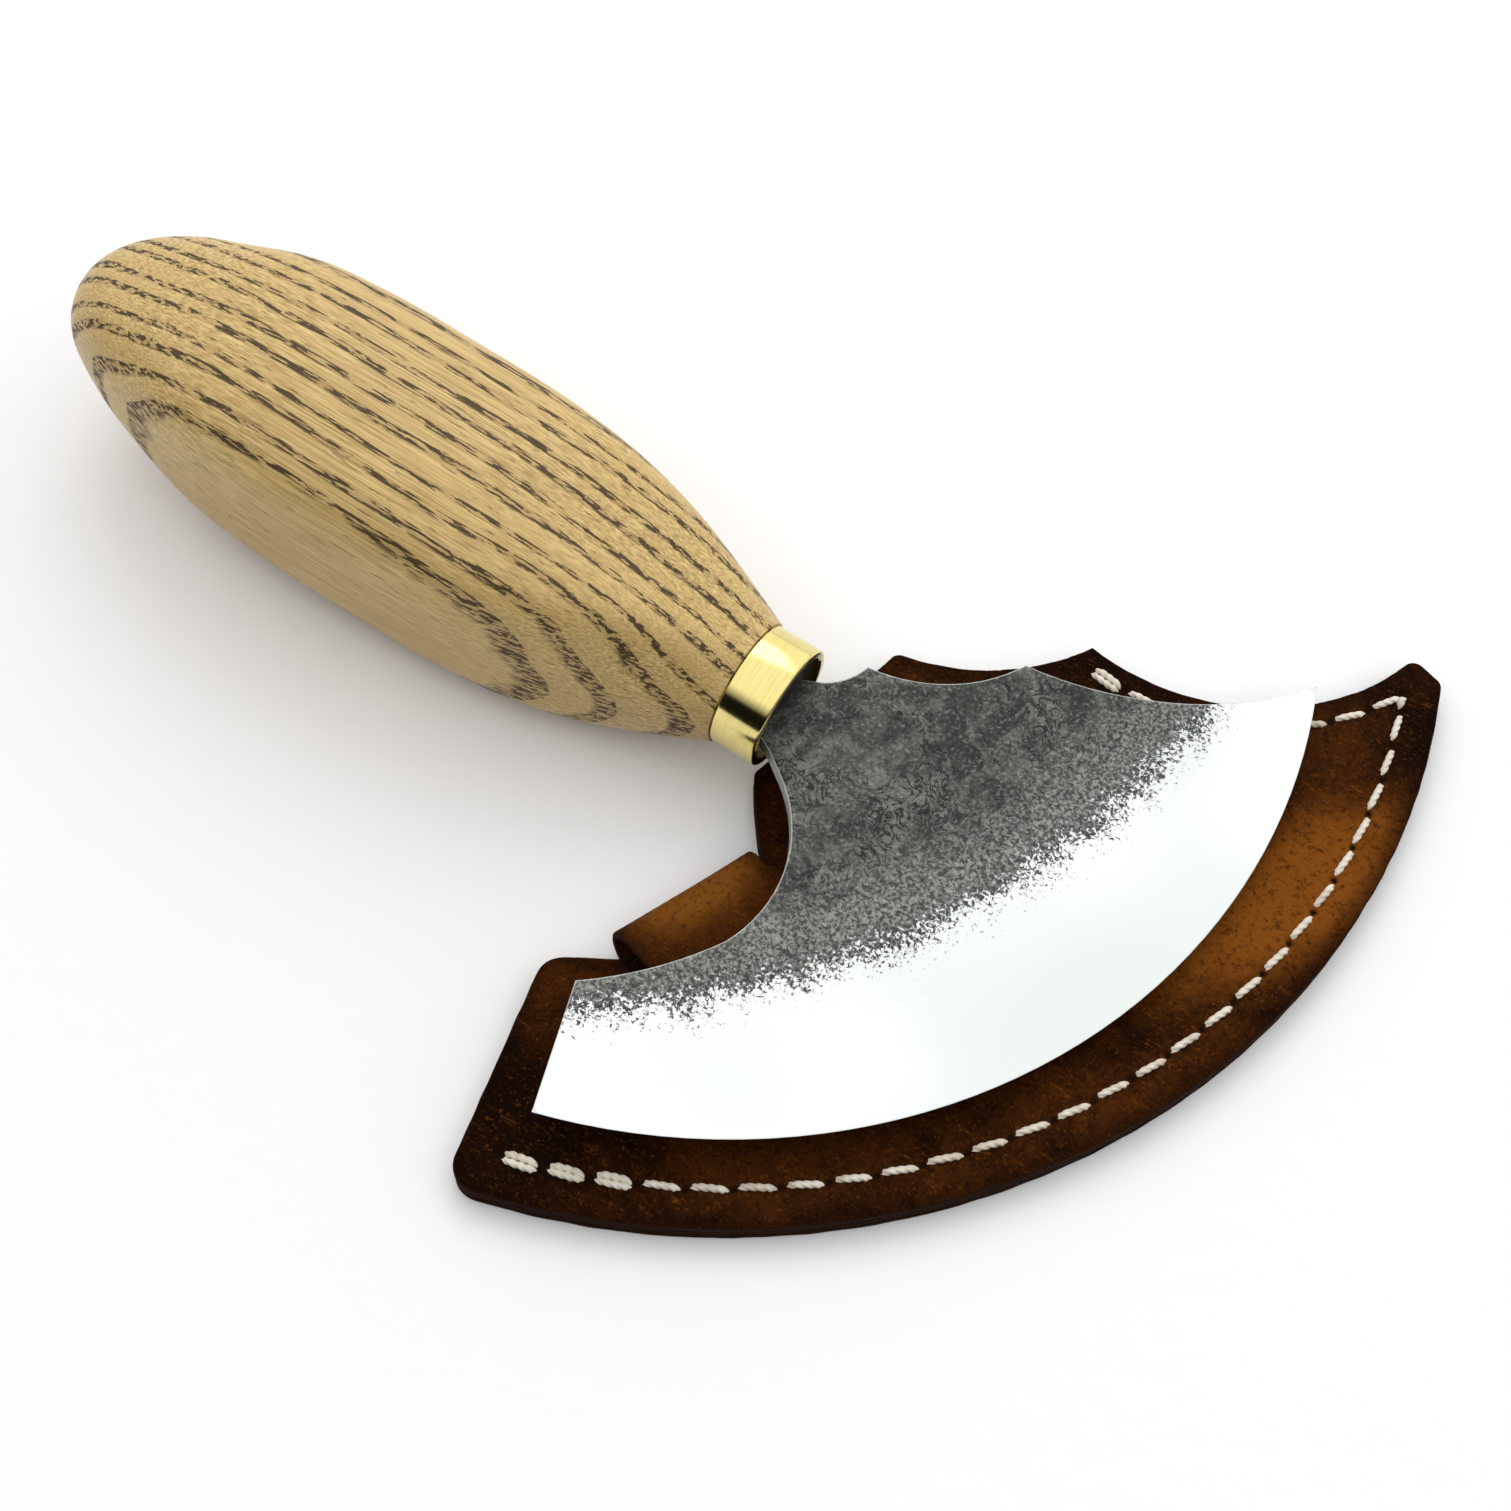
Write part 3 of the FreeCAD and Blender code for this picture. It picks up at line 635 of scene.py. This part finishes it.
def sewing_tree():
    """Geometry nodes that lay a twisted thread along each path."""
    tree = bpy.data.node_groups.new("twisted_thread", "GeometryNodeTree")
    sockets = {}
    for label, kind in (("Paths", "NodeSocketGeometry"), ("Thread radius", "NodeSocketFloat"),
                        ("Length of one turn", "NodeSocketFloat"), ("Flatness", "NodeSocketFloat"),
                        ("Face height", "NodeSocketFloat"), ("Thread", "NodeSocketMaterial")):
        sockets[label] = tree.interface.new_socket(label, in_out="INPUT", socket_type=kind)
    tree.interface.new_socket("Sewn", in_out="OUTPUT", socket_type="NodeSocketGeometry")
    add = tree.nodes.new
    link = tree.links.new
    given = add("NodeGroupInput").outputs

    def maths(operation, first, second=None):
        node = add("ShaderNodeMath")
        node.operation = operation
        for socket, value in zip(node.inputs, (first, second)):
            if isinstance(value, bpy.types.NodeSocket):
                link(value, socket)
            elif value is not None:
                socket.default_value = value
        return node.outputs[0]

    curve = add("GeometryNodeMeshToCurve")
    link(given["Paths"], curve.inputs["Mesh"])
    resampled = add("GeometryNodeResampleCurve")
    link(curve.outputs[0], resampled.inputs["Curve"])
    resampled.inputs["Count"].default_value = 34
    tilted = add("GeometryNodeSetCurveTilt")
    link(resampled.outputs[0], tilted.inputs["Curve"])
    along = add("GeometryNodeSplineParameter").outputs["Length"]
    link(maths("DIVIDE", maths("MULTIPLY", along, 2 * math.pi), given["Length of one turn"]),
         tilted.inputs["Tilt"])
    ring = add("GeometryNodeCurvePrimitiveCircle")
    ring.inputs["Resolution"].default_value = 15
    ring.inputs["Radius"].default_value = 1.0
    where = add("GeometryNodeInputPosition").outputs[0]
    axes = add("ShaderNodeSeparateXYZ")
    link(where, axes.inputs[0])
    angle = maths("ARCTAN2", axes.outputs["Y"], axes.outputs["X"])
    lobe = maths("ABSOLUTE", maths("COSINE", maths("MULTIPLY", angle, 1.5)))
    reach = maths("MULTIPLY", maths("ADD", maths("MULTIPLY", lobe, 0.34), 0.66), given["Thread radius"])
    scaled = add("ShaderNodeVectorMath")
    scaled.operation = "SCALE"
    link(where, scaled.inputs[0])
    link(reach, scaled.inputs["Scale"])
    plies = add("GeometryNodeSetPosition")
    link(ring.outputs[0], plies.inputs["Geometry"])
    link(scaled.outputs[0], plies.inputs["Position"])
    swept = add("GeometryNodeCurveToMesh")
    link(tilted.outputs[0], swept.inputs["Curve"])
    link(plies.outputs[0], swept.inputs["Profile Curve"])
    swept.inputs["Fill Caps"].default_value = True
    raised = add("ShaderNodeSeparateXYZ")
    link(add("GeometryNodeInputPosition").outputs[0], raised.inputs[0])
    above = maths("SUBTRACT", raised.outputs["Z"], given["Face height"])
    pressed = add("ShaderNodeCombineXYZ")
    link(raised.outputs["X"], pressed.inputs["X"])
    link(raised.outputs["Y"], pressed.inputs["Y"])
    link(maths("ADD", maths("MULTIPLY", above, given["Flatness"]), given["Face height"]), pressed.inputs["Z"])
    flattened = add("GeometryNodeSetPosition")
    link(swept.outputs[0], flattened.inputs["Geometry"])
    link(pressed.outputs[0], flattened.inputs["Position"])
    real = add("GeometryNodeRealizeInstances")
    link(flattened.outputs[0], real.inputs[0])
    smooth = add("GeometryNodeSetShadeSmooth")
    link(real.outputs[0], smooth.inputs["Geometry"])
    dyed = add("GeometryNodeSetMaterial")
    link(smooth.outputs[0], dyed.inputs["Geometry"])
    link(given["Thread"], dyed.inputs["Material"])
    link(dyed.outputs[0], add("NodeGroupOutput").inputs[0])
    return tree, sockets


def linen_thread():
    linen = Finish("waxed_thread")
    dirt = linen.noise(linen.place, 0.004, 4.0)
    fibre = linen.noise(linen.place, 0.00012, 3.0)
    colour = linen.mix(linen.span(dirt, 0.4, 0.68), rgb(0.74, 0.67, 0.56), rgb(0.5, 0.4, 0.29))
    colour = linen.mix(linen.span(fibre, 0.35, 0.65, 0.0, 0.35), colour, rgb(0.86, 0.81, 0.72))
    return linen.done(Base_Color=colour, Roughness=0.7, Sheen_Weight=0.25,
                      Normal=linen.bump(fibre, 0.00004, 0.7))


thread_tree, thread_sockets = sewing_tree()
thread_finish = linen_thread()
doubled_width = 0.0014
slant = 0.00022
hole_dive = 0.00015
turn_length = 0.0034
stitch_steps = 12


def sew(name, node, stitches, face_height, sink, flatness, radius):
    """Make one row of stitches as a single plain mesh in place of the CAD node's bars."""
    draw = np.random.default_rng(11)
    vertices = []
    edges = []
    for middle, along, half, width in stitches:
        across = np.array([-along[1], along[0]])
        strands = (-1, 1) if width > doubled_width else (0,)
        reach = half - hole_dive
        for strand in strands:
            wobble = draw.normal(0, 0.00005)
            for step in range(stitch_steps + 1):
                share = 2 * step / stitch_steps - 1
                sideways = strand * 0.92 * radius * (1 - 0.7 * share ** 4) - slant * share + wobble
                place = middle + share * reach * along + sideways * across
                if step:
                    edges.append((len(vertices) - 1, len(vertices)))
                vertices.append((place[0], place[1], face_height - sink * abs(share) ** 5))
    paths = bpy.data.meshes.new(name + "_paths")
    paths.from_pydata(vertices, edges, [])
    holder = bpy.data.objects.new(name + "_paths", paths)
    bpy.context.scene.collection.objects.link(holder)
    sewing = holder.modifiers.new("sewing", "NODES")
    sewing.node_group = thread_tree
    for label, value in (("Thread radius", radius), ("Length of one turn", turn_length),
                         ("Flatness", flatness), ("Face height", face_height), ("Thread", thread_finish)):
        sewing[thread_sockets[label].identifier] = value
    bpy.context.view_layer.update()
    ready = holder.evaluated_get(bpy.context.evaluated_depsgraph_get())
    mesh = bpy.data.meshes.new_from_object(ready)
    mesh.name = name
    bpy.data.objects.remove(holder)
    piece = bpy.data.objects.new(name, mesh)
    bpy.context.scene.collection.objects.link(piece)
    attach(piece, "sheath")
    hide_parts(node)


sew("front_stitches", "front_thread", front_stitches, front_high.z - 0.00008, 0.0011, 1.0, 0.00052)
back_stitches = [stitch_of(part) for part in loose_parts("back_thread")]
sew("back_stitches", "back_thread", back_stitches, back_low.z + 0.00023, -0.0004, 0.45, 0.00045)


# ---- Blade ----
# Forged from 2.4 mm tool steel. The body keeps its dark hammered scale, and a wide bevel is ground
# bright round the half moon on both sides, with a fine second bevel at the edge itself.

mouth = Vector((0.021248, 0.006269, 0.014247))
knife_pitch = math.radians(3.185)
blade_droop = math.radians(2.0)
blade_down = 0.0020
knife_place = Matrix.Translation(mouth) @ Matrix.Rotation(knife_pitch, 4, "Y")
blade_place = knife_place @ Matrix.Translation((0, 0, -blade_down)) @ Matrix.Rotation(blade_droop, 4, "Y")
blade_half = 0.0012
bevel_centre = np.array([-0.0242, 0.0180])
bevel_outer = 0.0876
bevel_inner = 0.0640
edge_half = 0.00012
fine_bevel = 0.0011
fine_bevel_half = 0.00004
ground_centre = (-0.0720, 0.0430)
ground_radius = 0.1170


def blade_heights(plan):
    from_centre = np.linalg.norm(plan - bevel_centre, axis=1)
    fine_start_half = edge_half + (blade_half - edge_half) * fine_bevel / (bevel_outer - bevel_inner)
    half = np.interp(from_centre, [bevel_inner, bevel_outer - fine_bevel, bevel_outer],
                     [blade_half, fine_start_half, fine_bevel_half])
    scale_zone = np.clip((ground_radius - np.linalg.norm(plan - ground_centre, axis=1)) / 0.006, 0, 1)
    hammered = 0.00003 * scale_zone * (waves(plan, 0.009, 12) + 0.5 * waves(plan, 0.004, 13))
    return -half + np.maximum(hammered, 0), half - np.maximum(-hammered, 0)


def polar_fill(centre, low, high, spacing):
    """Points on rings about a centre, so that the bevel shades evenly."""
    points = []
    for ring in np.arange(low, high, spacing):
        count = int(2 * math.pi * ring / spacing)
        turn = 2 * math.pi * np.arange(count) / count
        points.append(np.stack([centre[0] + ring * np.cos(turn), centre[1] + ring * np.sin(turn)], 1))
    return np.concatenate(points)


def forged_steel():
    steel = Finish("forged_steel")
    turn = tuple(blade_place.to_euler())
    flat = steel.seen_from(blade_place.translation, turn)
    beside = blade_place @ Vector((ground_centre[0], ground_centre[1], 0))
    from_ground = steel.distance(steel.seen_from(beside, turn))
    patches = steel.noise(flat, 0.013, 4.0, 0.6, 0.5)
    clouds = steel.noise(flat, 0.0045, 6.0, 0.66, 0.7)
    worms = steel.noise(flat, 0.0024, 4.0, 0.55, 1.6)
    speckle = steel.noise(flat, 0.00055, 4.0, 0.7, 0.6)
    lines = steel.span(steel.math("ABSOLUTE", steel.math("SUBTRACT", worms, 0.5)), 0.012, 0.055)
    tone = steel.math("ADD", steel.math("MULTIPLY", patches, 0.4), steel.math("MULTIPLY", clouds, 0.6))
    scale = steel.mix(steel.span(tone, 0.40, 0.60), rgb(0.030, 0.031, 0.027), rgb(0.125, 0.128, 0.112))
    scale = steel.mix(steel.span(speckle, 0.52, 0.66, 0, 0.6), scale, rgb(0.24, 0.24, 0.22))
    scale = steel.mix(steel.span(speckle, 0.46, 0.34, 0, 0.7), scale, rgb(0.014, 0.014, 0.012))
    pitting = steel.span(patches, 0.42, 0.58, 0.25, 0.95)
    wormy = steel.math("MULTIPLY", steel.math("SUBTRACT", 1.0, lines), pitting)
    scale = steel.mix(wormy, scale, rgb(0.012, 0.012, 0.011))
    past = steel.math("SUBTRACT", from_ground, ground_radius)
    ragged = steel.math("ADD", past, steel.math("MULTIPLY", steel.math("SUBTRACT", clouds, 0.5), 0.010))
    cleaned = steel.span(ragged, -0.0088, 0.0104)
    worn = steel.math("ADD", speckle, steel.math("MULTIPLY", cleaned, 0.66))
    bright = steel.span(worn, 0.86, 0.95)
    thinned = steel.mix(steel.span(speckle, 0.42, 0.6), rgb(0.05, 0.05, 0.046), rgb(0.30, 0.30, 0.28))
    scale = steel.mix(steel.span(ragged, -0.0115, -0.0020, 0, 0.8), scale, thinned)
    bare = steel.span(steel.attribute("rim"), 0.00022, 0.0001, 0, 0.6)
    from_bevel = steel.seen_from(blade_place @ Vector((bevel_centre[0], bevel_centre[1], 0)), turn)
    radius = steel.distance(from_bevel)
    swirl = steel.add("ShaderNodeCombineXYZ", {"X": steel.math("MULTIPLY", radius, 9000.0),
                                               "Y": steel.math("MULTIPLY", steel.axes(from_bevel)["Y"], 60.0),
                                               "Z": 0.0}).outputs[0]
    marks = steel.noise(swirl, 1.0, 3.0, 0.6)
    satin_and_painted_reflection = steel.mix(marks, rgb(0.80, 0.82, 0.82), rgb(0.93, 0.94, 0.94))
    # Painted reflection: grey clouds mixed into the bright bevel's colour stand in for dimmer parts of the
    # room mirrored there.
    dimmer_reflection = steel.noise(flat, 0.040, 1.0, 0.4)
    satin_and_painted_reflection = steel.mix(steel.span(dimmer_reflection, 0.32, 0.72, 0, 0.8), satin_and_painted_reflection, rgb(0.67, 0.72, 0.69))
    colour = steel.mix(bare, steel.mix(bright, scale, satin_and_painted_reflection), rgb(0.6, 0.61, 0.6))
    rough = steel.add("ShaderNodeMix", {0: bright, 2: steel.span(tone, 0.3, 0.7, 0.52, 0.4), 3: 0.11},
                      data_type="FLOAT").outputs[0]
    metal = steel.add("ShaderNodeMix", {0: bright, 2: 0.7, 3: 1.0}, data_type="FLOAT").outputs[0]
    pitted = steel.math("ADD", steel.math("MULTIPLY", lines, 0.6), steel.math("MULTIPLY", clouds, 1.6))
    relief = steel.math("ADD", steel.math("MULTIPLY", pitted, steel.math("SUBTRACT", 1.0, bright)),
                        steel.math("MULTIPLY", steel.math("MULTIPLY", marks, bright), 0.02))
    return steel.done(Base_Color=colour, Metallic=metal, Roughness=rough,
                      Normal=steel.bump(relief, 0.00005, 0.7))


blade_outline = outline_of("blade", 0.0007, blade_place.inverted())
ring_spacing = 0.0009
tang_reach = 0.026
blade_edge = 0.00012
fine_start = bevel_outer - fine_bevel
blade_fill = polar_fill(bevel_centre, tang_reach, bevel_outer - ring_spacing, ring_spacing)
sharp_ring = polar_fill(bevel_centre, fine_start, fine_start + 0.0001, ring_spacing)
blade_points = np.concatenate([blade_fill, sharp_ring])
vertices, faces, rim = plate(blade_outline, blade_points, blade_heights, blade_edge)
placed = [blade_place @ Vector(vertex) for vertex in vertices]
blade = show("blade_forged", placed, faces, forged_steel(), 20.0)
store(blade, "rim", rim)
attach(blade, "knife")
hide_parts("blade")


# ---- Resin round the tang ----
# Black casting resin fills the bore and the ferrule round the tang, and stands a little below the
# ferrule's rim.

def black_resin():
    resin = Finish("black_resin")
    dust = resin.noise(resin.place, 0.0007, 4.0)
    return resin.done(Base_Color=resin.mix(resin.span(dust, 0.5, 0.7), rgb(0.008, 0.008, 0.008),
                                           rgb(0.04, 0.036, 0.03)),
                      Roughness=0.5, Normal=resin.bump(dust, 0.0001, 0.6))


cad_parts["tang_resin"].data.materials[0] = black_resin()


# ---- Ferrule ----
# A 7 mm ring cut from 18 mm brass tube, with broken edges, brushed round on the lathe. It is pressed
# over the tenon of the handle.

ferrule_radius = 0.0090
ferrule_wall = 0.0012
ferrule_length = 0.0070
broken_edge = 0.00035


def brushed_brass():
    brass = Finish("ferrule_brass")
    turned_place = brass.seen_from(mouth, (0, knife_pitch, 0), (0.00009, 0.006, 0.006))
    brushing = brass.noise(turned_place, 1.0, 4.0, 0.7)
    stain = brass.noise(brass.place, 0.0035, 4.0, 0.6)
    colour = brass.mix(brass.span(brushing, 0.3, 0.7), rgb(0.72, 0.58, 0.19), rgb(0.88, 0.77, 0.34))
    colour = brass.mix(brass.span(stain, 0.58, 0.75, 0, 0.3), colour, rgb(0.5, 0.34, 0.11))
    return brass.done(Base_Color=colour, Metallic=1.0, Roughness=brass.span(brushing, 0.3, 0.7, 0.09, 0.17),
                      Anisotropic=0.3, Normal=brass.bump(brushing, 0.000006, 0.6))


along_knife = knife_place @ Matrix.Rotation(math.radians(-90), 4, "Y")
inner_radius = ferrule_radius - ferrule_wall
rounded = [(ferrule_radius - broken_edge * (1 - math.cos(turn)), broken_edge * (1 - math.sin(turn)))
           for turn in np.linspace(math.pi / 2, 0, 6)]
profile = ([(inner_radius, ferrule_length), (inner_radius, 0.0002), (inner_radius + 0.0002, 0.0)]
           + rounded + [(radius, ferrule_length - height) for radius, height in reversed(rounded)])
ferrule = turned("ferrule_turned", profile, brushed_brass(), along_knife, 120)
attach(ferrule, "knife")
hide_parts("ferrule")


# ---- Handle ----
# Spokeshaved and sanded from one piece of ash, oiled. It has a broad crowned top, soft ridges along
# both sides that fade towards the ferrule, and an egg-shaped butt.

handle_length = 0.1140
handle_half_width = 0.0186
handle_half_height = 0.0172
neck_radius = 0.00925
tenon_length = 0.0045
bore_radius = 0.0063
bore_depth = 0.0560
ridge_crispness = 1.1
butt_share = 0.998
handle_stations = [
    (0.000, neck_radius / handle_half_width, neck_radius / handle_half_height, 2.0, 31),
    (0.072, 0.640, 0.665, 2.35, 24),
    (0.158, 0.790, 0.805, 2.7, 11),
    (0.253, 0.920, 0.915, 2.7, 2),
    (0.360, 0.985, 0.985, 2.7, -4),
    (0.490, 1.000, 1.000, 2.7, -5),
    (0.630, 0.995, 0.985, 2.7, -5),
    (0.730, 0.945, 0.930, 2.7, -4),
    (0.825, 0.835, 0.815, 2.35, -2),
    (0.900, 0.680, 0.655, 2.35, 0),
    (0.955, 0.515, 0.495, 2.1, 0),
    (0.985, 0.310, 0.300, 2.0, 0),
    (0.9965, 0.130, 0.125, 2.0, 0),
]


def between(stations, count):
    """Many stations in place of a few, on a smooth curve through them."""
    rows = np.array(stations)
    steps = np.hypot(np.diff(rows[:, 0]) * 3, np.diff(rows[:, 1]))
    at = np.concatenate([[0], np.cumsum(steps)])
    slope = np.gradient(rows, at, axis=0)
    result = []
    for place in np.linspace(0, at[-1], count):
        index = min(int(np.searchsorted(at, place, side="right")) - 1, len(at) - 2)
        gap = at[index + 1] - at[index]
        t = (place - at[index]) / gap
        result.append((2 * t ** 3 - 3 * t ** 2 + 1) * rows[index]
                      + (t ** 3 - 2 * t ** 2 + t) * gap * slope[index]
                      + (3 * t ** 2 - 2 * t ** 3) * rows[index + 1]
                      + (t ** 3 - t ** 2) * gap * slope[index + 1])
    return result


def handle_ring(back, half_width, half_height, power, lean, count=160):
    """One section of the handle. lean moves the near ridge round towards the top."""
    ring = []
    for step in range(count):
        turn = 2 * math.pi * step / count
        near = math.sin(turn) > 0 and math.cos(turn) > 0
        ridge = turn + (math.radians(lean) * math.sin(2 * turn) if near else 0)
        shape = (abs(math.cos(ridge) / half_height) ** power + abs(math.sin(ridge) / half_width) ** power)
        reach = shape ** (-1 / power)
        ring.append(Vector((-back, -reach * math.sin(turn), reach * math.cos(turn))))
    return ring


def ash_wood():
    ash = Finish("ash_wood")
    ring_lean = math.radians(90)
    board = ash.seen_from(mouth, (ring_lean, knife_pitch, 0))
    axes = ash.axes(board)
    drift = ash.noise(ash.sized(board, (0.055, 0.022, 0.022)), 1.0, 2.0, 0.4)
    wavy = ash.noise(ash.sized(board, (0.018, 0.004, 0.004)), 1.0, 2.0, 0.5)
    depth = ash.math("ADD", axes["Z"], ash.math("MULTIPLY", drift, 0.0046))
    depth = ash.math("ADD", depth, ash.math("MULTIPLY", wavy, 0.0009))
    uneven = ash.noise(ash.sized(board, (1.0, 1.0, 0.0048)), 1.0, 1.0)
    ring_gap = 0.0031
    depth = ash.math("ADD", depth, ash.math("MULTIPLY", ash.math("ADD", uneven, 0.22), 0.0042))
    ring = ash.math("FRACT", ash.math("DIVIDE", depth, ring_gap))
    early = ash.math("MULTIPLY", ash.span(ring, 0.0, 0.06), ash.span(ring, 0.50, 0.34))
    pores = ash.noise(ash.sized(board, (0.0044, 0.00046, 0.00046)), 1.0, 3.0, 0.6)
    fibres = ash.noise(ash.sized(board, (0.012, 0.00022, 0.00022)), 1.0, 4.0, 0.65)
    broad = ash.noise(ash.sized(board, (0.06, 0.009, 0.009)), 1.0, 2.0)
    colour = ash.mix(ash.span(fibres, 0.32, 0.68), rgb(0.37, 0.23, 0.068), rgb(0.80, 0.59, 0.245))
    colour = ash.mix(ash.span(broad, 0.35, 0.65, 0, 0.4), colour, rgb(0.58, 0.40, 0.15))
    colour = ash.mix(ash.math("MULTIPLY", ash.span(ring, 0.45, 0.98), 0.22), colour, rgb(0.37, 0.225, 0.075))
    dash = ash.math("MULTIPLY", ash.span(pores, 0.48, 0.53), early)
    lone = ash.span(pores, 0.635, 0.70, 0, 0.55)
    dark = ash.math("MAXIMUM", dash, lone)
    colour = ash.mix(ash.math("MULTIPLY", early, 0.3), colour, rgb(0.26, 0.15, 0.05))
    colour = ash.mix(ash.math("MULTIPLY", dark, 0.95), colour, rgb(0.050, 0.026, 0.008))
    normal = ash.bump(ash.math("MULTIPLY", dark, -1.0), 0.00012, 0.7, ash.bump(fibres, 0.00004, 0.35))
    return ash.done(Base_Color=colour, Roughness=ash.span(dark, 0, 1, 0.4, 0.62), Normal=normal,
                    Specular_IOR_Level=0.3, Coat_Weight=0.06, Coat_Roughness=0.3)


rings = []
tenon_end = ferrule_length - tenon_length
bore_end = tenon_end + bore_depth + tenon_length
for back, radius in ((bore_end, bore_radius), (tenon_end, bore_radius),
                     (tenon_end, inner_radius), (ferrule_length, inner_radius)):
    rings.append(handle_ring(back, radius, radius, 2.0, 0))
for share, width, height, power, lean in between(handle_stations, 170):
    crisp = power + ridge_crispness * max(0.0, power - 2.0) / 0.7
    rings.append(handle_ring(ferrule_length + share * handle_length, width * handle_half_width,
                             height * handle_half_height, crisp, lean))
around = len(rings[0])
vertices = [knife_place @ vertex for ring in rings for vertex in ring]
vertices.append(knife_place @ Vector((-bore_end, 0, 0)))
vertices.append(knife_place @ Vector((-ferrule_length - butt_share * handle_length, 0, 0)))
faces = []
for row in range(len(rings) - 1):
    for step in range(around):
        a = row * around + step
        b = row * around + (step + 1) % around
        faces.append((a, b, b + around, a + around))
last = (len(rings) - 1) * around
for step in range(around):
    following_step = (step + 1) % around
    faces.append((following_step, step, len(vertices) - 2))
    faces.append((last + step, last + following_step, len(vertices) - 1))
handle = show("handle_ash", vertices, faces, ash_wood(), 50.0)
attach(handle, "knife")
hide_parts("handle")
